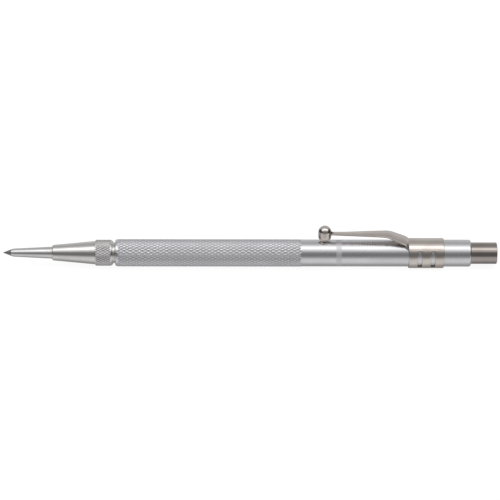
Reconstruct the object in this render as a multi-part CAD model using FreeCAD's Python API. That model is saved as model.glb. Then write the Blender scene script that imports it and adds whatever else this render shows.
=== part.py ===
import FreeCAD, Part
import math
import os

# A pocket scriber for marking out on metal. It lies along the X axis with its point toward -X
# and its pocket clip on top, toward +Z. The origin is on the barrel's axis, halfway along the
# knurled grip.
#
# Places along the tool are stations: distances in millimetres back from the tip of the point.
# Each piece is modelled on stations and moved into the tool's own frame when it is written.

# Barrel: 5/16 inch aluminium bar, knurled in front and plain behind.
BARREL_FRONT = 33.2
BARREL_REAR = 138.0
BARREL_RADIUS = 7.94 / 2
BARREL_FRONT_CORNER = 0.45
BARREL_REAR_CORNER = 0.6
GRIP_FRONT = 34.2
GRIP_REAR = 87.8
GRIP_RADIUS = 8.06 / 2
GRIP_LEAD_RADIUS = 3.93
GRIP_RUN_OUT = 0.6

# The barrel's bore, from front to back: a seat for the chuck body, a long clearance hole that the
# point's shank slides into, solid metal, and a socket for the magnet.
CHUCK_SEAT_DEPTH = 11.8
SHANK_BORE_RADIUS = 2.1
SHANK_BORE_END = 80.0
DRILL_POINT_LENGTH = 1.2
MAGNET_SOCKET_FRONT = 125.9

# Magnet: 1/4 inch round bar, pressed into the socket.
MAGNET_RADIUS = 6.35 / 2
MAGNET_REAR = 145.65
MAGNET_CHAMFER = 0.2

# Chuck body: a threaded stud pressed into the front of the barrel. The thread is a plain cylinder
# here, of 0.5 mm pitch and 6.3 mm outside diameter on the real piece.
STUD_FRONT = 28.3
STUD_THREAD_REAR = 32.3
STUD_THREAD_RADIUS = 3.08
STUD_NECK_RADIUS = 3.05
STUD_FRONT_CHAMFER = 0.25
STUD_BORE_RADIUS = 2.35
STUD_SHOULDER = 38.0
STUD_REAR = 45.0
STUD_SHANK_HOLE_RADIUS = 1.95

# Chuck nut: a long taper in front, a knurled rim behind, and a cone inside that closes the collet.
NUT_FRONT = 14.64
NUT_REAR = 32.5
NUT_NOSE_RADIUS = 2.28
NUT_NOSE_CORNER = 0.33
NUT_TAPER_RADIUS = 3.46
NUT_RIM_FRONT = 27.35
NUT_RIM_RADIUS = 3.85
NUT_RIM_CORNER = 0.15
NUT_CHAMFER_FRONT = 31.95
NUT_REAR_RADIUS = 3.40
NUT_HOLE_RADIUS = 1.95
NUT_CONE_FRONT = 18.0
NUT_CONE_REAR = 20.6
NUT_BORE_RADIUS = 2.36
NUT_THREAD_FRONT = 27.9
NUT_THREAD_RADIUS = 3.12
NUT_THREAD_RELIEF = 0.5

# Collet: a loose split sleeve between the nut's cone and the chuck body's shoulder.
COLLET_FRONT = 18.6
COLLET_REAR = 37.5
COLLET_RADIUS = 2.3
COLLET_NOSE_RADIUS = 1.98
COLLET_NOSE_LENGTH = 2.2
COLLET_BORE_RADIUS = 1.87
COLLET_SLIT_WIDTH = 0.4
COLLET_SLIT_END = 31.0

# Point: a ground carbide rod brazed into a tapered steel stem, whose shank the collet grips.
CARBIDE_RADIUS = 0.95
CARBIDE_POINT_RADIUS = 0.05
CARBIDE_CONE_LENGTH = 2.35
CARBIDE_REAR = 7.0
STEM_FRONT = 2.5
STEM_FRONT_RADIUS = 1.04
STEM_CHAMFER_REAR = 3.3
STEM_CHAMFER_RADIUS = 1.22
STEM_WAIST = 14.3
STEM_WAIST_RADIUS = 1.76
STEM_SHANK_FRONT = 16.0
STEM_SHANK_RADIUS = 1.85
STEM_REAR = 44.0
STEM_REAR_CHAMFER = 0.3

# Pocket clip: one piece of spring sheet. A band with two windows in each side wraps the barrel,
# open along its underside. A tongue rises from its front edge into a tapered arm that ends in a
# round knob.
SHEET = 0.45
CLIP_INNER_RADIUS = BARREL_RADIUS + 0.03
CLIP_OUTER_RADIUS = CLIP_INNER_RADIUS + SHEET
BAND_FRONT = 119.6
BAND_REAR = 130.0
RIB_LENGTH = 2.7
WINDOW_TOP_ANGLE = 57.0
WINDOW_END_ANGLE = 135.0
BAND_GAP = 0.6
HINGE_LINE = 115.5

# The sheet's outline where it leaves the band: station, height of its crest, half of its width,
# and the radius that it is curved to across its width.
TONGUE_ROOT = (BAND_FRONT, CLIP_OUTER_RADIUS, 3.70, CLIP_OUTER_RADIUS)
TONGUE_BEND = (118.5, 5.05, 3.45, 6.5)
TONGUE_TOP = (117.0, 5.51, 3.36, 7.4)
HINGE_SECTION = (HINGE_LINE, 6.11, 3.05, 7.0)
ARM_SHOULDER = (114.3, 6.51, 2.72, 6.6)
ARM_ROOT = (113.2, 6.70, 2.52, 6.2)
ARM_CREST = (112.0, 6.72, 2.28, 6.0)
ARM_MIDDLE = (106.5, 6.61, 1.74, 6.0)
ARM_DIP = (101.0, 6.51, 1.22, 6.0)
ARM_TIP = (96.0, 6.58, 0.95, 6.0)

# The knob stands upright on the barrel. It is domed on top, has a short straight side and a
# rounded underside, and a cone runs from it into the arm's tip.
KNOB_STATION = 94.9
KNOB_RADIUS = 1.9
KNOB_TOP = 8.7
KNOB_BOTTOM = 4.1
KNOB_TOP_CORNER = 1.85
KNOB_BOTTOM_CORNER = 1.2
NECK_HEIGHT = 6.38
NECK_FRONT = 96.2
NECK_FRONT_RADIUS = 1.33
NECK_TIP = 97.5
NECK_TIP_RADIUS = 0.2

ORIGIN_STATION = (GRIP_FRONT + GRIP_REAR) / 2

X_AXIS = FreeCAD.Vector(1, 0, 0)
Z_AXIS = FreeCAD.Vector(0, 0, 1)


def flat(along, up):
    """A point of an outline, in the upright plane through the tool's axis."""
    return FreeCAD.Vector(along, 0, up)


def rounded_corner(before, corner, after, radius):
    """The start, middle and end of the arc that rounds a corner of an outline."""
    into = (before - corner).normalize()
    out = (after - corner).normalize()
    half_angle = into.getAngle(out) / 2
    bisector = (into + out).normalize()
    centre = corner + bisector * (radius / math.sin(half_angle))
    setback = radius / math.tan(half_angle)
    return corner + into * setback, centre - bisector * radius, corner + out * setback


def outline_face(points):
    """A face from a closed outline of (along, up) or (along, up, corner radius)."""
    corners = [flat(point[0], point[1]) for point in points]
    count = len(points)
    stretches = []
    for i, point in enumerate(points):
        if len(point) == 3:
            stretches.append(rounded_corner(corners[i - 1], corners[i], corners[(i + 1) % count], point[2]))
        else:
            stretches.append((corners[i],))
    edges = []
    for i, stretch in enumerate(stretches):
        if len(stretch) == 3:
            edges.append(Part.Arc(*stretch).toShape())
        edges.append(Part.makeLine(stretch[-1], stretches[(i + 1) % count][0]))
    return Part.Face(Part.Wire(edges))


def turned(points):
    """A solid turned about the tool's axis from its outline."""
    return outline_face(points).revolve(FreeCAD.Vector(0, 0, 0), X_AXIS, 360)


def box_between(low, high):
    """A block from its lowest to its highest corner, each as (station, y, z)."""
    size = [top - bottom for bottom, top in zip(low, high)]
    return Part.makeBox(*size, FreeCAD.Vector(*low))


def make_carbide_tip():
    return turned([
        (0, 0),
        (0, CARBIDE_POINT_RADIUS),
        (CARBIDE_CONE_LENGTH, CARBIDE_RADIUS),
        (CARBIDE_REAR, CARBIDE_RADIUS),
        (CARBIDE_REAR, 0),
    ])


def make_point_stem():
    return turned([
        (STEM_FRONT, CARBIDE_RADIUS),
        (STEM_FRONT, STEM_FRONT_RADIUS),
        (STEM_CHAMFER_REAR, STEM_CHAMFER_RADIUS),
        (STEM_WAIST, STEM_WAIST_RADIUS),
        (STEM_SHANK_FRONT, STEM_SHANK_RADIUS),
        (STEM_REAR - STEM_REAR_CHAMFER, STEM_SHANK_RADIUS),
        (STEM_REAR, STEM_SHANK_RADIUS - STEM_REAR_CHAMFER),
        (STEM_REAR, 0),
        (CARBIDE_REAR, 0),
        (CARBIDE_REAR, CARBIDE_RADIUS),
    ])


def make_chuck_nut():
    relief_radius = NUT_THREAD_RADIUS - NUT_THREAD_RELIEF * math.tan(math.radians(30))
    return turned([
        (NUT_FRONT, NUT_HOLE_RADIUS),
        (NUT_FRONT, NUT_NOSE_RADIUS, NUT_NOSE_CORNER),
        (NUT_RIM_FRONT, NUT_TAPER_RADIUS),
        (NUT_RIM_FRONT, NUT_RIM_RADIUS, NUT_RIM_CORNER),
        (NUT_CHAMFER_FRONT, NUT_RIM_RADIUS),
        (NUT_REAR, NUT_REAR_RADIUS),
        (NUT_REAR, NUT_THREAD_RADIUS),
        (NUT_THREAD_FRONT, NUT_THREAD_RADIUS),
        (NUT_THREAD_FRONT - NUT_THREAD_RELIEF, relief_radius),
        (NUT_THREAD_FRONT - NUT_THREAD_RELIEF, NUT_BORE_RADIUS),
        (NUT_CONE_REAR, NUT_BORE_RADIUS),
        (NUT_CONE_FRONT, NUT_HOLE_RADIUS),
    ])


def make_collet():
    sleeve = turned([
        (COLLET_FRONT, COLLET_BORE_RADIUS),
        (COLLET_FRONT, COLLET_NOSE_RADIUS),
        (COLLET_FRONT + COLLET_NOSE_LENGTH, COLLET_RADIUS),
        (COLLET_REAR, COLLET_RADIUS),
        (COLLET_REAR, COLLET_BORE_RADIUS),
    ])
    half_slit = COLLET_SLIT_WIDTH / 2
    front = COLLET_FRONT - 1
    upright_slit = box_between(
        (front, -half_slit, -COLLET_RADIUS - 1),
        (COLLET_SLIT_END, half_slit, COLLET_RADIUS + 1),
    )
    level_slit = box_between(
        (front, -COLLET_RADIUS - 1, -half_slit),
        (COLLET_SLIT_END, COLLET_RADIUS + 1, half_slit),
    )
    return sleeve.cut([upright_slit, level_slit])


def make_chuck_body():
    return turned([
        (STUD_FRONT, STUD_BORE_RADIUS),
        (STUD_FRONT, STUD_THREAD_RADIUS - STUD_FRONT_CHAMFER),
        (STUD_FRONT + STUD_FRONT_CHAMFER, STUD_THREAD_RADIUS),
        (STUD_THREAD_REAR, STUD_THREAD_RADIUS),
        (STUD_THREAD_REAR, STUD_NECK_RADIUS),
        (STUD_REAR, STUD_NECK_RADIUS),
        (STUD_REAR, STUD_SHANK_HOLE_RADIUS),
        (STUD_SHOULDER, STUD_SHANK_HOLE_RADIUS),
        (STUD_SHOULDER, STUD_BORE_RADIUS),
    ])


def make_barrel():
    seat_end = BARREL_FRONT + CHUCK_SEAT_DEPTH
    return turned([
        (BARREL_FRONT, STUD_NECK_RADIUS),
        (BARREL_FRONT, GRIP_LEAD_RADIUS, BARREL_FRONT_CORNER),
        (GRIP_FRONT, GRIP_RADIUS),
        (GRIP_REAR, GRIP_RADIUS),
        (GRIP_REAR + GRIP_RUN_OUT, BARREL_RADIUS),
        (BARREL_REAR, BARREL_RADIUS, BARREL_REAR_CORNER),
        (BARREL_REAR, MAGNET_RADIUS),
        (MAGNET_SOCKET_FRONT, MAGNET_RADIUS),
        (MAGNET_SOCKET_FRONT, 0),
        (SHANK_BORE_END + DRILL_POINT_LENGTH, 0),
        (SHANK_BORE_END, SHANK_BORE_RADIUS),
        (seat_end, SHANK_BORE_RADIUS),
        (seat_end, STUD_NECK_RADIUS),
    ])


def make_magnet():
    edge_radius = MAGNET_RADIUS - MAGNET_CHAMFER
    return turned([
        (MAGNET_SOCKET_FRONT, 0),
        (MAGNET_SOCKET_FRONT, edge_radius),
        (MAGNET_SOCKET_FRONT + MAGNET_CHAMFER, MAGNET_RADIUS),
        (MAGNET_REAR - MAGNET_CHAMFER, MAGNET_RADIUS),
        (MAGNET_REAR, edge_radius),
        (MAGNET_REAR, 0),
    ])


def sheet_section(station, crest, half_width, radius):
    """The clip's sheet cut across: two arcs about one centre, joined by radial ends."""
    centre = crest - radius
    spread = math.asin(half_width / radius)

    def on_arc(arc_radius, angle):
        return FreeCAD.Vector(
            station,
            arc_radius * math.sin(angle),
            centre + arc_radius * math.cos(angle),
        )

    inner = radius - SHEET
    edges = [
        Part.Arc(on_arc(radius, -spread), on_arc(radius, 0), on_arc(radius, spread)).toShape(),
        Part.makeLine(on_arc(radius, spread), on_arc(inner, spread)),
        Part.Arc(on_arc(inner, spread), on_arc(inner, 0), on_arc(inner, -spread)).toShape(),
        Part.makeLine(on_arc(inner, -spread), on_arc(radius, -spread)),
    ]
    return Part.Wire(edges)


def sheet_through(sections):
    """The clip's sheet, as one smooth solid through a list of sections."""
    return Part.makeLoft([sheet_section(*section) for section in sections], True, False)


def make_clip_band():
    band_length = BAND_REAR - BAND_FRONT
    start = FreeCAD.Vector(BAND_FRONT, 0, 0)
    outer = Part.makeCylinder(CLIP_OUTER_RADIUS, band_length, start, X_AXIS)
    inner = Part.makeCylinder(CLIP_INNER_RADIUS, band_length, start, X_AXIS)
    shell = outer.cut(inner)
    reach = CLIP_OUTER_RADIUS + 1
    window_top = CLIP_OUTER_RADIUS * math.cos(math.radians(WINDOW_TOP_ANGLE))
    window_end = CLIP_OUTER_RADIUS * math.cos(math.radians(WINDOW_END_ANGLE))
    window_length = (band_length - 3 * RIB_LENGTH) / 2
    openings = [box_between(
        (BAND_FRONT - 1, -BAND_GAP / 2, -reach),
        (BAND_REAR + 1, BAND_GAP / 2, 0),
    )]
    for i in range(2):
        window_front = BAND_FRONT + RIB_LENGTH + i * (window_length + RIB_LENGTH)
        openings.append(box_between(
            (window_front, -reach, window_end),
            (window_front + window_length, reach, window_top),
        ))
    tongue = sheet_through([HINGE_SECTION, TONGUE_TOP, TONGUE_BEND, TONGUE_ROOT])
    return shell.cut(openings).fuse(tongue)


def make_knob():
    """The round end of the clip's arm, turned about an upright axis."""
    knob = outline_face([
        (0, KNOB_BOTTOM),
        (KNOB_RADIUS, KNOB_BOTTOM, KNOB_BOTTOM_CORNER),
        (KNOB_RADIUS, KNOB_TOP, KNOB_TOP_CORNER),
        (0, KNOB_TOP),
    ]).revolve(FreeCAD.Vector(0, 0, 0), Z_AXIS, 360)
    knob.translate(FreeCAD.Vector(KNOB_STATION, 0, 0))
    neck = Part.makeCone(
        NECK_FRONT_RADIUS,
        NECK_TIP_RADIUS,
        NECK_TIP - NECK_FRONT,
        FreeCAD.Vector(NECK_FRONT, 0, NECK_HEIGHT),
        X_AXIS,
    )
    return knob.fuse(neck)


def make_clip_arm():
    arm = sheet_through([
        ARM_TIP,
        ARM_DIP,
        ARM_MIDDLE,
        ARM_CREST,
        ARM_ROOT,
        ARM_SHOULDER,
        HINGE_SECTION,
    ])
    return arm.fuse(make_knob())


PIECES = {
    "carbide_tip": make_carbide_tip,
    "point_stem": make_point_stem,
    "chuck_nut": make_chuck_nut,
    "collet": make_collet,
    "chuck_body": make_chuck_body,
    "barrel": make_barrel,
    "magnet": make_magnet,
    "clip_band": make_clip_band,
    "clip_arm": make_clip_arm,
}


def write_piece(name, shape):
    """Writes one piece in the tool's own frame, after making sure that it is one sound solid."""
    if len(shape.Solids) != 1 or not shape.isValid():
        raise ValueError(f"{name} is not one sound solid")
    solid = shape.Solids[0].copy()
    solid.translate(FreeCAD.Vector(-ORIGIN_STATION, 0, 0))
    solid.exportStep(f"parts/{name}.step")
    box = solid.BoundBox
    print(f"{name}: volume {solid.Volume:.2f} mm3, x {box.XMin:.2f} to {box.XMax:.2f}")


os.makedirs("parts", exist_ok=True)
for piece_name, make_piece in PIECES.items():
    write_piece(piece_name, make_piece())
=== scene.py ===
import math

import bmesh
import bpy
from mathutils import Matrix, Vector


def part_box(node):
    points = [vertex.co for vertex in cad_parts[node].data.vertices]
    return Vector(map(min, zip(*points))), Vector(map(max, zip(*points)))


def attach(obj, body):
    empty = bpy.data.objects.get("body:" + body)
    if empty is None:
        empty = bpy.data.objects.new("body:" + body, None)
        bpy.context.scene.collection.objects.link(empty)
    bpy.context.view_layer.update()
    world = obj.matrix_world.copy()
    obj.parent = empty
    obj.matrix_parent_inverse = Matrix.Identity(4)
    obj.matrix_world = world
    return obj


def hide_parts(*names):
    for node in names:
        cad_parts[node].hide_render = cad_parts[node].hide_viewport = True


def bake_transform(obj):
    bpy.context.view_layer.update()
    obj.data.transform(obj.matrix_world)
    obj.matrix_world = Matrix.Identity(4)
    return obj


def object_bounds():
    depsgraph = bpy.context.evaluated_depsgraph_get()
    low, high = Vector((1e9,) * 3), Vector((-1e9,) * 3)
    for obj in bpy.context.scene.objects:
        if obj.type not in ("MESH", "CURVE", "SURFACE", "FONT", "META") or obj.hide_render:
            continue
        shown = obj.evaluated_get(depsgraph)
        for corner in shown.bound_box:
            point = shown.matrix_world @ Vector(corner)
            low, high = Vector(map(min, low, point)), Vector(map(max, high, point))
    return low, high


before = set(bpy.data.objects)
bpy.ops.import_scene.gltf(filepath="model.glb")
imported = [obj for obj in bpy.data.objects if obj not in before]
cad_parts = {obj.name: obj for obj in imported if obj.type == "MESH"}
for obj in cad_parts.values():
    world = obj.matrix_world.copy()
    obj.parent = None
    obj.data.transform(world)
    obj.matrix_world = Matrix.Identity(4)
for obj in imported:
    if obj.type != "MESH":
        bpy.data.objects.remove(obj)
cad_low, cad_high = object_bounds()

# Places along the tool are stations: millimetres back from the tip of the point, as in the CAD model.
MM = 0.001
TIP_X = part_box("carbide_tip")[0].x


def span(node):
    """The stations of a CAD node's front and rear."""
    low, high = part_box(node)
    return (low.x - TIP_X) / MM, (high.x - TIP_X) / MM


def reach(node):
    """How far a CAD node reaches from the tool's axis, sideways."""
    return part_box(node)[1].y / MM


def placed(station, y, z):
    """A point in the row frame, in metres, from a station, y and z in millimetres."""
    return Vector((TIP_X + station * MM, y * MM, z * MM))


def station_of(point):
    """The station of a point in the row frame."""
    return (point.x - TIP_X) / MM


# ---------------------------------------------------------------------------------------------
# Mesh helpers
# ---------------------------------------------------------------------------------------------

ARC_STEP = math.radians(16)
ARC_GUARD = 0.4
RING_COUNT = 96
SHARP_ANGLE = math.radians(38)
ON_AXIS = 1e-6


def even_angles(count=RING_COUNT):
    """Angles evenly spaced round a ring."""
    return [2 * math.pi * i / count for i in range(count)]


def eased(points, arc_step=ARC_STEP):
    """An open outline with each corner that has a third value, its radius, turned into an arc.

    A point just outside each end of the arc keeps the shading of the long runs flat.
    """
    done = []
    for i, point in enumerate(points):
        if len(point) < 3:
            done.append(Vector(point))
            continue
        before, corner, after = (Vector(points[j][:2]) for j in (i - 1, i, i + 1))
        into, out = (before - corner).normalized(), (after - corner).normalized()
        half_angle = into.angle(out) / 2
        setback = point[2] / math.tan(half_angle)
        guard = setback + ARC_GUARD * point[2]
        centre = corner + (into + out).normalized() * (point[2] / math.sin(half_angle))
        first, last = corner + into * setback - centre, corner + out * setback - centre
        turn = first.angle_signed(last)
        steps = max(2, math.ceil(abs(turn) / arc_step))
        if guard < (before - corner).length / 2:
            done.append(corner + into * guard)
        for k in range(steps + 1):
            spoke = first.copy()
            spoke.rotate(Matrix.Rotation(-turn * k / steps, 2))
            done.append(centre + spoke)
        if guard < (after - corner).length / 2:
            done.append(corner + out * guard)
    return done


def about_tool(station, radius, angle):
    """A point on a ring about the tool's own axis."""
    return placed(station, radius * math.sin(angle), radius * math.cos(angle))


def spun(mesh, outline, angles, place=about_tool):
    """Adds a ring of points for each point of an outline, and the faces between the rings."""
    rings = []
    for along, radius in outline:
        around = angles if radius > ON_AXIS else angles[:1]
        rings.append([mesh.verts.new(place(along, radius, angle)) for angle in around])
    for first, second in zip(rings, rings[1:]):
        joined(mesh, first, second)
    return rings


def joined(mesh, first, second):
    """The faces between two rings, either of which may be a single point."""
    count = max(len(first), len(second))
    for i in range(count):
        j = (i + 1) % count
        on_first = [first[i % len(first)], first[j % len(first)]]
        on_second = [second[j % len(second)], second[i % len(second)]]
        corners = list(dict.fromkeys(on_first + on_second))
        if len(corners) > 2:
            mesh.faces.new(corners)


def finished(name, mesh, body, nodes, materials):
    """Turns a bmesh into a piece of the object that rides on a CAD body and stands for CAD nodes."""
    bmesh.ops.recalc_face_normals(mesh, faces=mesh.faces)
    data = bpy.data.meshes.new(name)
    mesh.to_mesh(data)
    mesh.free()
    data.polygons.foreach_set("use_smooth", [True] * len(data.polygons))
    data.set_sharp_from_angle(angle=SHARP_ANGLE)
    piece = bpy.data.objects.new(name, data)
    bpy.context.scene.collection.objects.link(piece)
    for material in materials:
        data.materials.append(material)
    if body:
        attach(piece, body)
    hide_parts(*nodes)
    return piece


# ---------------------------------------------------------------------------------------------
# Knurling and threads
# ---------------------------------------------------------------------------------------------

# Each knurl diamond is a stepped pyramid: the share of the diamond that a step spans, and its
# share of the knurl's depth.
KNURL_STEPS = ((1.0, 0.0), (0.88, 0.12), (0.40, 0.88), (0.24, 1.0))

# A knurled piece's second material is the one on its knurl.
KNURL_MATERIAL = 1


def knurl_angles(starts):
    """The angles round a knurled piece at which its diamonds have points along a cut end."""
    half = math.pi / starts
    offsets = [share for share, _ in KNURL_STEPS[1:]]
    angles = []
    for i in range(starts):
        middle = (2 * i + 1) * half
        angles.append(middle - half)
        angles.extend(middle - share * half for share in offsets)
        angles.extend(middle + share * half for share in reversed(offsets))
    return angles


def knurled(mesh, front_ring, rear_ring, front, rear, crest, depth, starts, rows):
    """Adds a diamond knurl between two rings. rows counts half diamonds along it, and is even."""
    half = math.pi / starts
    length = (rear - front) / rows
    columns = 2 * starts
    root = crest - depth

    def vertex(column, row, radius):
        return mesh.verts.new(about_tool(front + row * length, radius, column * half))

    corners = {
        (i, j): vertex(i, j, root)
        for i in range(columns)
        for j in range(rows + 1)
        if (i + j) % 2 == 0
    }
    ends = {0: {}, rows: {}}
    for i in range(columns):
        for j in range(rows + 1):
            if (i + j) % 2 == 0:
                continue
            sides = {"up": (1, 0), "rear": (0, 1), "down": (-1, 0), "front": (0, -1)}
            if j == 0:
                del sides["front"]
            if j == rows:
                del sides["rear"]
            steps = []
            for share, height in KNURL_STEPS:
                if share == 1.0:
                    steps.append({s: corners[(i + di) % columns, j + dj] for s, (di, dj) in sides.items()})
                else:
                    radius = root + depth * height
                    steps.append({
                        s: vertex(i + di * share, j + dj * share, radius) for s, (di, dj) in sides.items()
                    })
            order = [s for s in ("up", "rear", "down", "front") if s in sides]
            pairs = list(zip(order, order[1:] + order[:1]))
            if j in ends:
                pairs.remove(("down", "up") if j == 0 else ("up", "down"))
                ends[j][i] = steps
            for outer, inner in zip(steps, steps[1:]):
                for a, b in pairs:
                    mesh.faces.new([outer[a], outer[b], inner[b], inner[a]]).material_index = KNURL_MATERIAL
            mesh.faces.new([steps[-1][s] for s in order]).material_index = KNURL_MATERIAL
    for row, ring in ((0, front_ring), (rows, rear_ring)):
        edge = []
        for i in range(columns):
            if (i + row) % 2 == 0:
                continue
            steps = ends[row][i]
            edge.append(steps[0]["down"])
            edge.extend(step["down"] for step in steps[1:])
            edge.extend(step["up"] for step in reversed(steps[1:]))
        count = len(edge)
        for k in range(count):
            corners_of_face = [edge[k], edge[(k + 1) % count], ring[(k + 1) % count], ring[k]]
            mesh.faces.new(corners_of_face).material_index = KNURL_MATERIAL


THREAD_PITCH = 0.5
THREAD_ROWS_PER_PITCH = 10

# Over half a pitch the groove's share of its full depth would go from -THREAD_LAND up by
# THREAD_SLOPE. Holding it between 0 and 1 leaves a flat crest and a flat root.
THREAD_SLOPE, THREAD_LAND = 1.6, 0.3

# How near the thread's radius, in millimetres, a point is counted as on it.
ON_RADIUS = 1e-4


def thread_rows(front, rear, radius):
    """Closely spaced outline points along a stretch that is to be threaded."""
    count = round((rear - front) / THREAD_PITCH * THREAD_ROWS_PER_PITCH)
    return [(front + (rear - front) * i / count, radius) for i in range(count + 1)]


def threaded(mesh, front, rear, radius, depth, outside):
    """Cuts a right-hand thread into the rings that lie between two stations at one radius."""
    for vertex in mesh.verts:
        station = station_of(vertex.co)
        across = math.hypot(vertex.co.y, vertex.co.z) / MM
        if not front < station < rear or abs(across - radius) > ON_RADIUS:
            continue
        angle = math.atan2(vertex.co.z, vertex.co.y)
        phase = (station / THREAD_PITCH - angle / (2 * math.pi)) % 1
        groove = min(max(THREAD_SLOPE * (1 - abs(2 * phase - 1)) - THREAD_LAND, 0), 1)
        fade = min(1, (station - front) / THREAD_PITCH, (rear - station) / THREAD_PITCH)
        change = depth * groove * fade
        share = 1 + (-change if outside else change) / across
        vertex.co.y *= share
        vertex.co.z *= share


# ---------------------------------------------------------------------------------------------
# Materials
# ---------------------------------------------------------------------------------------------


class Nodes:
    """A short way to add nodes to a material or world and link them."""

    def __init__(self, owner):
        owner.use_nodes = True
        self.tree = owner.node_tree
        self.tree.nodes.clear()

    def add(self, kind, inputs=(), **settings):
        node = self.tree.nodes.new(kind)
        for key, value in settings.items():
            setattr(node, key, value)
        for key, value in dict(inputs).items():
            if isinstance(value, bpy.types.NodeSocket):
                self.tree.links.new(value, node.inputs[key])
            else:
                node.inputs[key].default_value = value
        return node

    def math(self, operation, *values):
        return self.add("ShaderNodeMath", dict(enumerate(values)), operation=operation).outputs[0]

    def ranged(self, value, from_low, from_high, to_low, to_high, smooth=False):
        kind = "SMOOTHSTEP" if smooth else "LINEAR"
        inputs = {0: value, 1: from_low, 2: from_high, 3: to_low, 4: to_high}
        return self.add("ShaderNodeMapRange", inputs, interpolation_type=kind).outputs[0]

    def noise(self, scales, detail=3.0, rough=0.5, seed=0.0):
        """Noise whose features are 1/scale metres long along X, Y and Z."""
        here = self.add("ShaderNodeTexCoord").outputs["Object"]
        place = {"Vector": here, "Scale": scales, "Location": (seed, seed, 0)}
        mapping = self.add("ShaderNodeMapping", place)
        inputs = {"Vector": mapping.outputs[0], "Scale": 1.0, "Detail": detail, "Roughness": rough}
        return self.add("ShaderNodeTexNoise", inputs).outputs[0]

    def blended(self, factor, first, second):
        """A colour between two colours."""
        mix = self.add("ShaderNodeMix", data_type="RGBA")
        for socket, value in ((mix.inputs[0], factor), (mix.inputs[6], first), (mix.inputs[7], second)):
            if isinstance(value, bpy.types.NodeSocket):
                self.tree.links.new(value, socket)
            else:
                socket.default_value = value
        return mix.outputs[2]


def rgb(r, g, b):
    """An opaque colour."""
    return (r, g, b, 1.0)


def along_and_across(nodes):
    """The station in millimetres and the distance from the axis in millimetres, at a shaded point."""
    here = nodes.add("ShaderNodeTexCoord").outputs["Object"]
    split = nodes.add("ShaderNodeSeparateXYZ", {0: here}).outputs
    station = nodes.math("MULTIPLY", nodes.math("SUBTRACT", split[0], TIP_X), 1 / MM)
    squares = [nodes.math("POWER", side, 2.0) for side in (split[1], split[2])]
    across = nodes.math("SQRT", nodes.math("ADD", *squares))
    return station, nodes.math("MULTIPLY", across, 1 / MM)


# The noise's middle band, over which a metal goes from one colour or roughness to the other.
NOISE_LOW, NOISE_HIGH = 0.35, 0.65
PATCH_SCALE = (180.0, 260.0, 260.0)
PATCH_SEED = 7.3

# How much rougher a frosted ring is, how softly it ends in millimetres, and how much rougher the
# bottom of a knurl's grooves is.
RING_ROUGHNESS = 0.22
RING_SOFTNESS = 0.12
GROOVE_ROUGHNESS = 0.22

# The share of a knurl's depth, down from its crests, that is left out of the painted groove shade.
UNSHADED_CREST = 0.15


def metal(name, color, shade, roughness, lines=(9000.0, 60.0, 60.0), depth=0.000002, build=None):
    """A metal with fine tool marks, patches of slightly different polish and faint colour variation.

    color and shade are the two colours it varies between, and roughness the two roughnesses.
    build may change the colour and roughness further.
    """
    material = bpy.data.materials.new(name)
    nodes = Nodes(material)
    marks = nodes.noise(lines, detail=4.0, rough=0.6)
    patches = nodes.noise(PATCH_SCALE, detail=3.0, seed=PATCH_SEED)
    tint = nodes.blended(nodes.ranged(patches, NOISE_LOW, NOISE_HIGH, 0.0, 1.0), color, shade)
    polish = nodes.math("ADD", nodes.math("MULTIPLY", marks, 0.5), nodes.math("MULTIPLY", patches, 0.5))
    rough = nodes.ranged(polish, NOISE_LOW, NOISE_HIGH, roughness[0], roughness[1])
    if build:
        tint, rough = build(nodes, tint, rough)
    bump = nodes.add("ShaderNodeBump", {"Strength": 1.0, "Distance": depth, "Height": marks})
    shader = nodes.add("ShaderNodeBsdfPrincipled", {
        "Base Color": tint,
        "Roughness": rough,
        "Metallic": 1.0,
        "Normal": bump.outputs[0],
    })
    nodes.add("ShaderNodeOutputMaterial", {"Surface": shader.outputs[0]})
    return material


def frosted_ring(front, rear):
    """A ring of rougher metal between two stations."""
    def build(nodes, tint, rough):
        station, _ = along_and_across(nodes)
        inside = nodes.math(
            "MULTIPLY",
            nodes.ranged(station, front - RING_SOFTNESS, front + RING_SOFTNESS, 0.0, 1.0, True),
            nodes.ranged(station, rear - RING_SOFTNESS, rear + RING_SOFTNESS, 1.0, 0.0, True),
        )
        return tint, nodes.math("ADD", rough, nodes.math("MULTIPLY", inside, RING_ROUGHNESS))
    return build


def shaded_grooves(crest, depth, painted_groove_shade):
    """Painted shade: metal darker and duller toward the bottom of a knurl's grooves, where shade falls; the
    crests keep the metal's own colour.
    """
    def build(nodes, tint, rough):
        _, across = along_and_across(nodes)
        height = nodes.ranged(across, crest - depth, crest - UNSHADED_CREST * depth, 0.0, 1.0, True)
        # The groove colour is painted shade, blended in toward the bottom of the grooves.
        return (
            nodes.blended(height, painted_groove_shade, tint),
            nodes.math("ADD", rough, nodes.ranged(height, 0.0, 1.0, GROOVE_ROUGHNESS, 0.0)),
        )
    return build


# ---------------------------------------------------------------------------------------------
# Sizes that the turned pieces are built from
# ---------------------------------------------------------------------------------------------

EDGE = 0.05
KNURL_MARGIN = 0.12

barrel_front, barrel_rear = span("barrel")
BARREL_RADIUS = 3.97
BARREL_FRONT_CORNER = 0.45
BARREL_REAR_CORNER = 0.6
GRIP_FRONT, GRIP_REAR = 34.2, 87.8
GRIP_LEAD_RADIUS = 3.93
GRIP_RUN_OUT = 0.6
GRIP_RADIUS = reach("barrel")
GRIP_STARTS = 24
GRIP_ROWS = 60
GRIP_DEPTH = 0.16
FROSTED_FRONT, FROSTED_REAR = 98.3, 99.9
SHANK_BORE_RADIUS = 2.1
SHANK_BORE_END = 80.0
DRILL_POINT = 81.2

magnet_front, magnet_rear = span("magnet")
MAGNET_RADIUS = reach("magnet")
MAGNET_CORNER = 0.2
SOCKET_BEVEL = 0.22

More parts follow.
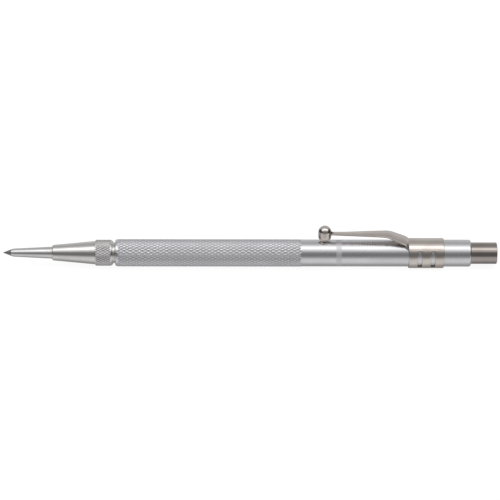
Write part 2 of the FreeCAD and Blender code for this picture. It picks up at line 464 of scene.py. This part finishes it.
stud_front, stud_rear = span("chuck_body")
STUD_THREAD_RADIUS = reach("chuck_body")
STUD_THREAD_REAR = 32.3
STUD_NECK_RADIUS = 3.05
STUD_BORE_RADIUS = 2.35
STUD_SHOULDER = 38.0
STUD_SHANK_HOLE_RADIUS = 1.95
STUD_LEAD = 0.25
STUD_RUN_OUT = 0.05
STUD_THREAD_DEPTH = 0.22

nut_front, nut_rear = span("chuck_nut")
NUT_RIM_RADIUS = reach("chuck_nut")
NUT_NOSE_RADIUS = 2.28
NUT_NOSE_CORNER = 0.33
NUT_TAPER_RADIUS = 3.46
NUT_RIM_FRONT = 27.35
NUT_RIM_EDGE_RADIUS = NUT_RIM_RADIUS - 0.04
NUT_KNURL_FRONT = 27.62
NUT_KNURL_REAR = 31.8
NUT_CHAMFER_FRONT = 31.95
NUT_REAR_RADIUS = 3.40
NUT_KNURL_STARTS = 28
NUT_KNURL_ROWS = 6
NUT_KNURL_DEPTH = 0.15
NUT_HOLE_RADIUS = 1.95
NUT_CONE_FRONT, NUT_CONE_REAR = 18.0, 20.6
NUT_BORE_RADIUS = 2.36
NUT_THREAD_FRONT = 27.9
NUT_THREAD_REAR = nut_rear - 0.2
NUT_THREAD_RADIUS = 3.12
NUT_THREAD_DEPTH = 0.1
NUT_THREAD_LEAD = 0.4
NUT_MOUTH_LENGTH, NUT_MOUTH_FLARE = 0.15, 0.08
NUT_RIM_CORNER = 0.12
NUT_REAR_CORNER = 0.08

stem_front, stem_rear = span("point_stem")
STEM_SHANK_RADIUS = reach("point_stem")
STEM_FRONT_RADIUS = 1.04
STEM_CHAMFER_REAR, STEM_CHAMFER_RADIUS = 3.3, 1.22
STEM_WAIST, STEM_WAIST_RADIUS = 14.3, 1.76
STEM_SHANK_FRONT = 16.0
STEM_BLEND = 1.0
STEM_CHAMFER_EASE = 0.3
STEM_REAR_CHAMFER = 0.3
STEM_FRONT_EDGE = 0.02

carbide_front, carbide_rear = span("carbide_tip")
CARBIDE_RADIUS = reach("carbide_tip")
CARBIDE_CONE_REAR = 2.35
CARBIDE_POINT_RADIUS = 0.05

# The point is rounded through a place this far back from its tip, at this share of its radius.
CARBIDE_NOSE_BACK, CARBIDE_NOSE_SHARE = 0.01, 0.6


# ---------------------------------------------------------------------------------------------
# Turned pieces
# ---------------------------------------------------------------------------------------------


def make_barrel():
    mesh = bmesh.new()
    angles = knurl_angles(GRIP_STARTS)
    front_rings = spun(mesh, eased([
        (DRILL_POINT, 0),
        (SHANK_BORE_END, SHANK_BORE_RADIUS),
        (stud_rear, SHANK_BORE_RADIUS),
        (stud_rear, STUD_NECK_RADIUS),
        (barrel_front, STUD_NECK_RADIUS, EDGE),
        (barrel_front, GRIP_LEAD_RADIUS, BARREL_FRONT_CORNER),
        (GRIP_FRONT - KNURL_MARGIN, BARREL_RADIUS),
    ]), angles)
    rear_rings = spun(mesh, eased([
        (GRIP_REAR + KNURL_MARGIN, BARREL_RADIUS),
        (GRIP_REAR + GRIP_RUN_OUT, BARREL_RADIUS),
        (barrel_rear, BARREL_RADIUS, BARREL_REAR_CORNER),
        (barrel_rear, MAGNET_RADIUS + SOCKET_BEVEL, EDGE),
        (barrel_rear - SOCKET_BEVEL, MAGNET_RADIUS),
        (magnet_front, MAGNET_RADIUS),
        (magnet_front, 0),
    ]), angles)
    knurled(
        mesh, front_rings[-1], rear_rings[0], GRIP_FRONT, GRIP_REAR,
        GRIP_RADIUS, GRIP_DEPTH, GRIP_STARTS, GRIP_ROWS,
    )
    turned = metal(
        "barrel_turned_aluminium", rgb(0.80, 0.80, 0.82), rgb(0.76, 0.76, 0.78), (0.24, 0.34),
        build=frosted_ring(FROSTED_FRONT, FROSTED_REAR),
    )
    # The knurl's grooves get painted shade: a darker colour toward their bottoms.
    knurl = metal(
        "barrel_knurled_aluminium", rgb(0.84, 0.84, 0.87), rgb(0.80, 0.80, 0.83), (0.28, 0.40),
        lines=(3000.0, 3000.0, 3000.0), depth=0.000004,
        build=shaded_grooves(GRIP_RADIUS, GRIP_DEPTH, rgb(0.62, 0.61, 0.64)),
    )
    finished("barrel_handle", mesh, "barrel", ["barrel"], [turned, knurl])


def make_chuck_nut():
    mesh = bmesh.new()
    angles = knurl_angles(NUT_KNURL_STARTS)
    rings = spun(mesh, eased([
        (NUT_KNURL_REAR + KNURL_MARGIN, NUT_RIM_EDGE_RADIUS),
        (NUT_CHAMFER_FRONT, NUT_RIM_EDGE_RADIUS),
        (nut_rear, NUT_REAR_RADIUS, NUT_REAR_CORNER),
        (nut_rear, NUT_THREAD_RADIUS + NUT_MOUTH_FLARE, EDGE),
        (nut_rear - NUT_MOUTH_LENGTH, NUT_THREAD_RADIUS),
    ] + thread_rows(NUT_THREAD_FRONT, NUT_THREAD_REAR, NUT_THREAD_RADIUS)[::-1] + [
        (NUT_THREAD_FRONT - NUT_THREAD_LEAD, NUT_BORE_RADIUS),
        (NUT_CONE_REAR, NUT_BORE_RADIUS),
        (NUT_CONE_FRONT, NUT_HOLE_RADIUS),
        (nut_front, NUT_HOLE_RADIUS, EDGE),
        (nut_front, NUT_NOSE_RADIUS, NUT_NOSE_CORNER),
        (NUT_RIM_FRONT, NUT_TAPER_RADIUS, EDGE),
        (NUT_RIM_FRONT, NUT_RIM_EDGE_RADIUS, NUT_RIM_CORNER),
        (NUT_KNURL_FRONT - KNURL_MARGIN, NUT_RIM_EDGE_RADIUS),
    ]), angles)
    knurled(
        mesh, rings[-1], rings[0], NUT_KNURL_FRONT, NUT_KNURL_REAR,
        NUT_RIM_RADIUS, NUT_KNURL_DEPTH, NUT_KNURL_STARTS, NUT_KNURL_ROWS,
    )
    threaded(mesh, NUT_THREAD_FRONT, NUT_THREAD_REAR, NUT_THREAD_RADIUS, NUT_THREAD_DEPTH, outside=False)
    plain = metal("nut_turned_nickel", rgb(0.80, 0.79, 0.78), rgb(0.74, 0.73, 0.72), (0.17, 0.26))
    # The knurl's grooves get painted shade: a darker colour toward their bottoms.
    knurl = metal(
        "nut_knurled_nickel", rgb(0.78, 0.77, 0.77), rgb(0.72, 0.71, 0.71), (0.22, 0.34),
        lines=(3000.0, 3000.0, 3000.0), depth=0.000003,
        build=shaded_grooves(NUT_RIM_RADIUS, NUT_KNURL_DEPTH, rgb(0.55, 0.53, 0.53)),
    )
    finished("chuck_nut_knurled", mesh, "nut", ["chuck_nut"], [plain, knurl])


def make_chuck_body():
    mesh = bmesh.new()
    thread_front = stud_front + STUD_LEAD
    rings = spun(mesh, eased([
        (STUD_SHOULDER, STUD_BORE_RADIUS),
        (stud_front, STUD_BORE_RADIUS, EDGE),
        (stud_front, STUD_THREAD_RADIUS - STUD_LEAD, EDGE),
    ] + thread_rows(thread_front, STUD_THREAD_REAR, STUD_THREAD_RADIUS) + [
        (STUD_THREAD_REAR + STUD_RUN_OUT, STUD_NECK_RADIUS),
        (stud_rear, STUD_NECK_RADIUS),
        (stud_rear, STUD_SHANK_HOLE_RADIUS),
        (STUD_SHOULDER, STUD_SHANK_HOLE_RADIUS),
    ]), even_angles())
    joined(mesh, rings[-1], rings[0])
    threaded(mesh, thread_front, STUD_THREAD_REAR, STUD_THREAD_RADIUS, STUD_THREAD_DEPTH, outside=True)
    nickel = metal("chuck_body_nickel_plate", rgb(0.78, 0.77, 0.75), rgb(0.70, 0.69, 0.66), (0.18, 0.28))
    finished("chuck_body_threaded", mesh, "barrel", ["chuck_body"], [nickel])


def make_point_stem():
    mesh = bmesh.new()
    spun(mesh, eased([
        (stem_rear, 0),
        (stem_rear, STEM_SHANK_RADIUS - STEM_REAR_CHAMFER, EDGE),
        (stem_rear - STEM_REAR_CHAMFER, STEM_SHANK_RADIUS, EDGE),
        (STEM_SHANK_FRONT, STEM_SHANK_RADIUS, STEM_BLEND),
        (STEM_WAIST, STEM_WAIST_RADIUS, STEM_BLEND),
        (STEM_CHAMFER_REAR, STEM_CHAMFER_RADIUS, STEM_CHAMFER_EASE),
        (stem_front, STEM_FRONT_RADIUS, STEM_FRONT_EDGE),
        (stem_front, CARBIDE_RADIUS),
        (carbide_rear, CARBIDE_RADIUS),
        (carbide_rear, 0),
    ]), even_angles())
    steel = metal("stem_plated_steel", rgb(0.82, 0.81, 0.81), rgb(0.76, 0.75, 0.75), (0.26, 0.36))
    finished("point_stem_tapered", mesh, "point", ["point_stem"], [steel])


def make_carbide_tip():
    mesh = bmesh.new()
    spun(mesh, eased([
        (carbide_front, 0),
        (carbide_front + CARBIDE_NOSE_BACK, CARBIDE_NOSE_SHARE * CARBIDE_POINT_RADIUS),
        (carbide_front + CARBIDE_POINT_RADIUS, CARBIDE_POINT_RADIUS),
        (CARBIDE_CONE_REAR, CARBIDE_RADIUS, EDGE),
        (carbide_rear, CARBIDE_RADIUS),
        (carbide_rear, 0),
    ]), even_angles())
    carbide = metal(
        "carbide_ground", rgb(0.38, 0.36, 0.37), rgb(0.30, 0.285, 0.29), (0.30, 0.42),
        lines=(16000.0, 900.0, 900.0), depth=0.000003,
    )
    finished("carbide_point", mesh, "point", ["carbide_tip"], [carbide])


def make_magnet():
    mesh = bmesh.new()
    spun(mesh, eased([
        (magnet_front, 0),
        (magnet_front, MAGNET_RADIUS, EDGE),
        (magnet_rear, MAGNET_RADIUS, MAGNET_CORNER),
        (magnet_rear, 0),
    ]), even_angles())
    alloy = metal("magnet_polished_alloy", rgb(0.46, 0.41, 0.39), rgb(0.40, 0.355, 0.335), (0.05, 0.11))
    finished("pick_up_magnet", mesh, "barrel", ["magnet"], [alloy])


# ---------------------------------------------------------------------------------------------
# Pocket clip
# ---------------------------------------------------------------------------------------------

SHEET = 0.40
SHEET_EDGE = 0.12
SHEET_CORNER = math.radians(50)
# The sheet's rim faces take a second, darker material: painted shade along the sheet's cut edges.
SHADED_EDGE_MATERIAL = 1

hinge_line, band_rear = span("clip_band")
BAND_FRONT = 119.6
BAND_RADIUS = reach("clip_band")
RIB_COUNT = 3
RIB_LENGTH = 2.7
RIB_INSET = 0.35
RIB_EDGE_DROP = 0.08
WINDOW_LENGTH = (band_rear - BAND_FRONT - RIB_COUNT * RIB_LENGTH) / (RIB_COUNT - 1)
HALF_WINDOW = WINDOW_LENGTH / 2
RIB_STARTS = [BAND_FRONT + rib * (RIB_LENGTH + WINDOW_LENGTH) for rib in range(RIB_COUNT)]
RIB_EDGES = [edge for start in RIB_STARTS for edge in (start, start + RIB_LENGTH)]

# How near a rib's edge a station is counted as on it, and an angle to another as the same.
ON_EDGE = 0.01
SAME_ANGLE = 0.1

# Angles round the band, in degrees from its top. A window's sides are straight between its head
# and its foot, and its ends are round beyond them.
TONGUE_ANGLE = 57.0
WINDOW_TOP_ANGLE = 59.0
WINDOW_END_ANGLE = 136.0
WINDOW_HEAD = WINDOW_TOP_ANGLE + math.degrees(HALF_WINDOW / BAND_RADIUS)
WINDOW_FOOT = WINDOW_END_ANGLE - math.degrees(HALF_WINDOW / BAND_RADIUS)
STRIP_ANGLE = 138.0
STRIP_END_ANGLE = 168.0
BAND_END_ANGLE = 176.1
BAND_CORNER_ANGLE = 5.0

# How many faces the sheet has over half of the tongue's width, a rib's straight side, the strip
# below the windows, and a window's length.
TONGUE_SPANS = 6
RIB_SPANS = 7
STRIP_SPANS = 4
WINDOW_SPANS = 8

# The clip's sheet in front of the band: station, height of its crest, half of its width, and the
# radius that it is curved to across its width.
CLIP_SECTIONS = (
    (BAND_FRONT, BAND_RADIUS, 3.73, BAND_RADIUS),
    (119.25, 4.70, 3.58, 5.4),
    (118.5, 5.05, 3.45, 6.5),
    (117.0, 5.51, 3.36, 7.4),
    (hinge_line, 6.11, 3.05, 7.0),
    (114.3, 6.51, 2.72, 6.6),
    (113.2, 6.70, 2.52, 6.2),
    (112.0, 6.72, 2.28, 6.0),
    (106.5, 6.61, 1.74, 6.0),
    (101.0, 6.51, 1.22, 6.0),
    (96.0, 6.58, 0.95, 6.0),
)
SECTION_STEP = 0.35

# The knob at the arm's end is turned about an upright axis. A neck runs from it into the arm.
KNOB_STATION = 94.9
KNOB_RADIUS = 1.9
KNOB_TOP = 8.7
KNOB_BOTTOM = 4.1
KNOB_TOP_CORNER = 1.85
KNOB_BOTTOM_CORNER = 1.2
NECK_HEIGHT = 6.38
NECK_FRONT, NECK_FRONT_RADIUS = 96.2, 1.33
NECK_TIP, NECK_TIP_RADIUS = 97.6, 0.16
NECK_HOLLOW = 0.45
NECK_STEPS = 10
KNOB_ARC_STEP = math.radians(7)
KNOB_RING_COUNT = 64


def smooth_section(station):
    """The crest, half width and crown radius at a station, on a smooth curve through CLIP_SECTIONS."""
    knots = CLIP_SECTIONS
    k = max(i for i in range(len(knots) - 1) if knots[i][0] >= station or i == 0)
    here, there = knots[k], knots[k + 1]
    gap = there[0] - here[0]
    t = (station - here[0]) / gap

    def slope(i, column):
        low, high = knots[max(i - 1, 0)], knots[min(i + 1, len(knots) - 1)]
        return (high[column] - low[column]) / (high[0] - low[0]) * gap

    values = []
    for column in (1, 2, 3):
        a, b = here[column], there[column]
        ma, mb = slope(k, column), slope(k + 1, column)
        values.append(
            a * (2 * t**3 - 3 * t**2 + 1) + ma * (t**3 - 2 * t**2 + t)
            + b * (3 * t**2 - 2 * t**3) + mb * (t**3 - t**2)
        )
    return values


def band_columns():
    """Stations along the band, each with its window's centre or None, closest at a window's ends."""
    columns = []
    for rib, start in enumerate(RIB_STARTS):
        for offset in (0, RIB_INSET, RIB_LENGTH / 2, RIB_LENGTH - RIB_INSET, RIB_LENGTH):
            columns.append((start + offset, None))
        if rib < RIB_COUNT - 1:
            middle = start + RIB_LENGTH + HALF_WINDOW
            for k in range(1, WINDOW_SPANS):
                columns.append((middle - HALF_WINDOW * math.cos(math.pi * k / WINDOW_SPANS), middle))
    return columns


def spaced(first, last, spans):
    """Evenly spaced values from first to last."""
    return [first + (last - first) * k / spans for k in range(spans + 1)]


def band_rows():
    """Angles round the band, from one of its ends over the top to the other."""
    tongue = spaced(0, TONGUE_ANGLE, TONGUE_SPANS)
    ribs = spaced(WINDOW_HEAD, WINDOW_FOOT, RIB_SPANS)
    strip = spaced(STRIP_ANGLE, STRIP_END_ANGLE, STRIP_SPANS)
    rows = tongue + ribs + strip + [BAND_END_ANGLE]
    return [-angle for angle in reversed(rows[1:])] + rows


def level_with_windows(angle):
    """Whether an angle round the band lies between the windows' heads and feet."""
    return WINDOW_HEAD + SAME_ANGLE < abs(angle) < WINDOW_FOOT - SAME_ANGLE


def rounded_window_end(station, window, size):
    """An angle from the top, moved out to the window's round end where it is at the head or foot."""
    rise = math.degrees(math.sqrt(max(HALF_WINDOW**2 - (station - window) ** 2, 0)) / BAND_RADIUS)
    if abs(size - WINDOW_HEAD) < SAME_ANGLE:
        return WINDOW_HEAD - rise
    if abs(size - WINDOW_FOOT) < SAME_ANGLE:
        return WINDOW_FOOT + rise
    return size


def band_point(station, window, angle, at_front, at_rear):
    """A point on the band's outer face, a little lower along its free edges."""
    size = abs(angle)
    if window is not None:
        size = rounded_window_end(station, window, size)
    if size >= BAND_END_ANGLE and (at_front or at_rear):
        size -= BAND_CORNER_ANGLE
    on_edge = min(abs(station - edge) for edge in RIB_EDGES) < ON_EDGE
    beside_tongue = at_front and size > WINDOW_HEAD + SAME_ANGLE
    free = at_rear or beside_tongue or level_with_windows(angle)
    radius = BAND_RADIUS - (RIB_EDGE_DROP if on_edge and free else 0)
    return about_tool(station, radius, math.radians(math.copysign(size, angle)))


def add_band(mesh):
    """Adds the band's outer face, and returns its front edge where the tongue joins it."""
    rows = band_rows()
    columns = band_columns()
    last = len(columns) - 1
    grid = {}
    for c, (station, window) in enumerate(columns):
        for r, angle in enumerate(rows):
            if window is None or not level_with_windows(angle):
                grid[c, r] = mesh.verts.new(band_point(station, window, angle, c == 0, c == last))
    for c in range(last):
        beside_window = columns[c][1] is not None or columns[c + 1][1] is not None
        for r in range(len(rows) - 1):
            middle = abs(rows[r] + rows[r + 1]) / 2
            if beside_window and WINDOW_HEAD < middle < WINDOW_FOOT:
                continue
            corners = [(c, r), (c + 1, r), (c + 1, r + 1), (c, r + 1)]
            mesh.faces.new([grid[corner] for corner in corners])
    first_row = next(r for r, angle in enumerate(rows) if angle >= -TONGUE_ANGLE - SAME_ANGLE)
    return [grid[0, first_row + k] for k in range(2 * TONGUE_SPANS + 1)]


def add_tongue_and_arm(mesh, root):
    """Adds the sheet's outer face from the band's front edge to the arm's tip."""
    previous = root
    arm_front = CLIP_SECTIONS[-1][0]
    steps = round((BAND_FRONT - arm_front) / SECTION_STEP)
    for i in range(1, steps + 1):
        station = BAND_FRONT + (arm_front - BAND_FRONT) * i / steps
        crest, half_width, crown = smooth_section(station)
        spread = math.asin(half_width / crown)
        line = []
        for k in range(2 * TONGUE_SPANS + 1):
            turn = spread * (k - TONGUE_SPANS) / TONGUE_SPANS
            height = crest - crown + crown * math.cos(turn)
            line.append(mesh.verts.new(placed(station, crown * math.sin(turn), height)))
        for k in range(2 * TONGUE_SPANS):
            mesh.faces.new([previous[k], previous[k + 1], line[k + 1], line[k]])
        previous = line


def face_outward(mesh):
    """Turns the sheet's faces to look away from the tool's axis."""
    bmesh.ops.recalc_face_normals(mesh, faces=mesh.faces)
    outward = 0
    for face in mesh.faces:
        middle = face.calc_center_median()
        outward += face.normal.dot(Vector((0, middle.y, middle.z)))
    if outward < 0:
        bmesh.ops.reverse_faces(mesh, faces=mesh.faces)


def thickened(mesh, materials):
    """A new bmesh with the sheet's thickness and eased edges. It frees the one it is given."""
    data = bpy.data.meshes.new("clip_sheet")
    mesh.to_mesh(data)
    mesh.free()
    for material in materials:
        data.materials.append(material)
    sheet = bpy.data.objects.new("clip_sheet", data)
    bpy.context.scene.collection.objects.link(sheet)
    thick = sheet.modifiers.new("thickness", "SOLIDIFY")
    thick.thickness = SHEET * MM
    thick.offset = -1
    thick.use_even_offset = True
    # The rim faces take the material that paints shade along the sheet's edges.
    thick.material_offset_rim = SHADED_EDGE_MATERIAL
    bevel = sheet.modifiers.new("eased_edges", "BEVEL")
    bevel.width = SHEET_EDGE * MM
    bevel.segments = 3
    bevel.limit_method = "ANGLE"
    bevel.angle_limit = SHEET_CORNER
    bpy.context.view_layer.update()
    evaluated = sheet.evaluated_get(bpy.context.evaluated_depsgraph_get())
    solid = bmesh.new()
    solid.from_mesh(bpy.data.meshes.new_from_object(evaluated))
    bpy.data.objects.remove(sheet)
    return solid


def about_knob(height, radius, angle):
    """A point on a ring about the knob's upright axis."""
    return placed(KNOB_STATION + radius * math.cos(angle), radius * math.sin(angle), height)


def about_neck(station, radius, angle):
    """A point on a ring about the neck's axis, which is level with the arm's end."""
    return placed(station, radius * math.sin(angle), NECK_HEIGHT + radius * math.cos(angle))


def neck_outline():
    """A hollow curve that leaves the knob at 45 degrees and flattens out on the arm, and a closed tip."""
    root, tip = Vector((NECK_FRONT, NECK_FRONT_RADIUS)), Vector((NECK_TIP, NECK_TIP_RADIUS))
    pull = root + Vector((1, -1)) * NECK_HOLLOW
    outline = []
    for k in range(NECK_STEPS + 1):
        t = k / NECK_STEPS
        outline.append(root * (1 - t) ** 2 + pull * 2 * t * (1 - t) + tip * t**2)
    return outline + [Vector((NECK_TIP, 0))]


def add_knob(mesh):
    """Adds the knob and the neck that runs from it into the arm."""
    outline = eased([
        (KNOB_BOTTOM, 0),
        (KNOB_BOTTOM, KNOB_RADIUS, KNOB_BOTTOM_CORNER),
        (KNOB_TOP, KNOB_RADIUS, KNOB_TOP_CORNER),
        (KNOB_TOP, 0),
    ], KNOB_ARC_STEP)
    spun(mesh, outline, even_angles(KNOB_RING_COUNT), about_knob)
    spun(mesh, neck_outline(), even_angles(KNOB_RING_COUNT), about_neck)


def make_pocket_clip():
    nickel = metal(
        "clip_nickel_plate", rgb(0.76, 0.70, 0.66), rgb(0.68, 0.61, 0.57), (0.13, 0.22),
        lines=(500.0, 9000.0, 9000.0), depth=0.000001,
    )
    # Painted shade: the sheet's cut edges get a darker colour to stand in for the shade along them.
    shaded_edge = metal("clip_edges_painted_shade", rgb(0.48, 0.42, 0.38), rgb(0.40, 0.34, 0.31), (0.30, 0.42))
    materials = [nickel, shaded_edge]
    mesh = bmesh.new()
    tongue_root = add_band(mesh)
    add_tongue_and_arm(mesh, tongue_root)
    face_outward(mesh)
    mesh = thickened(mesh, materials)
    add_knob(mesh)
    clip = finished("pocket_clip_spring", mesh, None, ["clip_band", "clip_arm"], materials)
    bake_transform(clip)


# ---------------------------------------------------------------------------------------------
# Camera, floor and light
# ---------------------------------------------------------------------------------------------

# Distances here are in metres, and the lens is in millimetres.
CAMERA_ELEVATION = math.radians(25)
CAMERA_DISTANCE = 0.615
CAMERA_LENS = 150.0
CAMERA_ROLL = 0.0012
AXIS_BELOW_CENTRE = 0.00085
AIM_BEHIND_CENTRE = 0.0001
CAMERA_NEAREST = 0.01
FLOOR_RADIUS = 2.0
FLOOR_GLOW = 0.90
FLOOR_PALENESS = 0.22


def make_camera():
    data = bpy.data.cameras.new("camera")
    data.lens = CAMERA_LENS
    camera = bpy.data.objects.new("camera", data)
    bpy.context.scene.collection.objects.link(camera)
    back = Vector((0, -math.cos(CAMERA_ELEVATION), math.sin(CAMERA_ELEVATION)))
    level_right = Vector((1, 0, 0))
    level_up = back.cross(level_right)
    right = level_right * math.cos(CAMERA_ROLL) + level_up * math.sin(CAMERA_ROLL)
    up = back.cross(right)
    middle = Vector(((cad_low.x + cad_high.x) / 2 + AIM_BEHIND_CENTRE, 0, 0))
    camera.location = middle + up * AXIS_BELOW_CENTRE + back * CAMERA_DISTANCE
    camera.rotation_euler = Matrix((right, up, back)).transposed().to_euler()
    data.clip_start = CAMERA_NEAREST
    bpy.context.scene.camera = camera


def make_floor():
    mesh = bmesh.new()
    bmesh.ops.create_circle(mesh, cap_ends=True, segments=RING_COUNT, radius=FLOOR_RADIUS)
    data = bpy.data.meshes.new("floor")
    mesh.to_mesh(data)
    mesh.free()
    floor = bpy.data.objects.new("floor", data)
    floor.location.z = cad_low.z
    bpy.context.scene.collection.objects.link(floor)
    material = bpy.data.materials.new("pale_floor")
    nodes = Nodes(material)
    glow = nodes.add("ShaderNodeEmission", {"Color": rgb(1, 1, 1), "Strength": FLOOR_GLOW})
    paper = nodes.add("ShaderNodeBsdfDiffuse", {"Color": rgb(*[FLOOR_PALENESS] * 3)})
    total = nodes.add("ShaderNodeAddShader", {0: glow.outputs[0], 1: paper.outputs[0]})
    nodes.add("ShaderNodeOutputMaterial", {"Surface": total.outputs[0]})
    data.materials.append(material)
    floor.visible_glossy = False


# The light round the tool, as its brightness at angles over the tool in the plane across it:
# 0 is the horizon on the camera's side, 90 is overhead and 180 is the horizon behind.
LIGHT_BY_ANGLE = (
    (-180, 0.50),
    (-110, 0.42),
    (-90, 0.46),
    (-75, 0.68),
    (-62, 0.88),
    (-30, 0.88),
    (-20, 0.64),
    (-12, 0.38),
    (-4, 0.24),
    (6, 0.21),
    (20, 0.23),
    (30, 0.32),
    (38, 0.60),
    (46, 1.02),
    (56, 1.10),
    (62, 2.10),
    (77, 2.10),
    (83, 1.10),
    (95, 0.80),
    (104, 0.55),
    (116, 0.52),
    (129, 0.56),
    (165, 0.80),
    (180, 0.70),
)
BRIGHTEST = max(light for _, light in LIGHT_BY_ANGLE)

# Towards either end of the tool the light falls off, between these two sines of the angle. Below
# the horizon it reaches further round to the ends: not yet at LOW_START and in full at LOW_FULL,
# which are sines of the angle above the horizon.
SIDE_FULL, SIDE_DARK = 0.65, 0.93
SIDE_DARKEST = 0.06
LOW_REACH = 0.2
LOW_FULL, LOW_START = -0.35, -0.05


def make_light():
    world = bpy.data.worlds.new("studio")
    bpy.context.scene.world = world
    nodes = Nodes(world)
    direction = nodes.add("ShaderNodeTexCoord").outputs["Generated"]
    x, y, z = nodes.add("ShaderNodeSeparateXYZ", {0: direction}).outputs
    angle = nodes.math("ARCTAN2", z, nodes.math("MULTIPLY", y, -1.0))
    place = nodes.ranged(angle, -math.pi, math.pi, 0.0, 1.0)
    ramp = nodes.add("ShaderNodeValToRGB", {0: place})
    stops = ramp.color_ramp.elements
    for k, (degrees, light) in enumerate(LIGHT_BY_ANGLE):
        position = (degrees + 180) / 360
        stop = stops[k] if k < 2 else stops.new(position)
        stop.position = position
        stop.color = rgb(*[light / BRIGHTEST] * 3)
    further = nodes.ranged(z, LOW_FULL, LOW_START, LOW_REACH, 0.0, True)
    along = nodes.math("SUBTRACT", nodes.math("ABSOLUTE", x), further)
    side = nodes.ranged(along, SIDE_FULL, SIDE_DARK, BRIGHTEST, BRIGHTEST * SIDE_DARKEST, True)
    strength = nodes.math("MULTIPLY", ramp.outputs[0], side)
    seen = nodes.add("ShaderNodeLightPath").outputs["Is Camera Ray"]
    shown = nodes.math("MAXIMUM", strength, seen)
    background = nodes.add("ShaderNodeBackground", {"Strength": shown})
    nodes.add("ShaderNodeOutputWorld", {"Surface": background.outputs[0]})


bpy.context.scene.view_settings.view_transform = "Standard"
make_camera()
make_floor()
make_light()

make_carbide_tip()
make_point_stem()
make_chuck_nut()
make_chuck_body()
make_barrel()
make_magnet()
make_pocket_clip()

# The collet sits inside the chuck and keeps its CAD shape.
collet_brass = metal("collet_turned_brass", rgb(0.80, 0.62, 0.32), rgb(0.72, 0.54, 0.27), (0.22, 0.34))
collet_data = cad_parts["collet"].data
collet_data.materials.clear()
collet_data.materials.append(collet_brass)
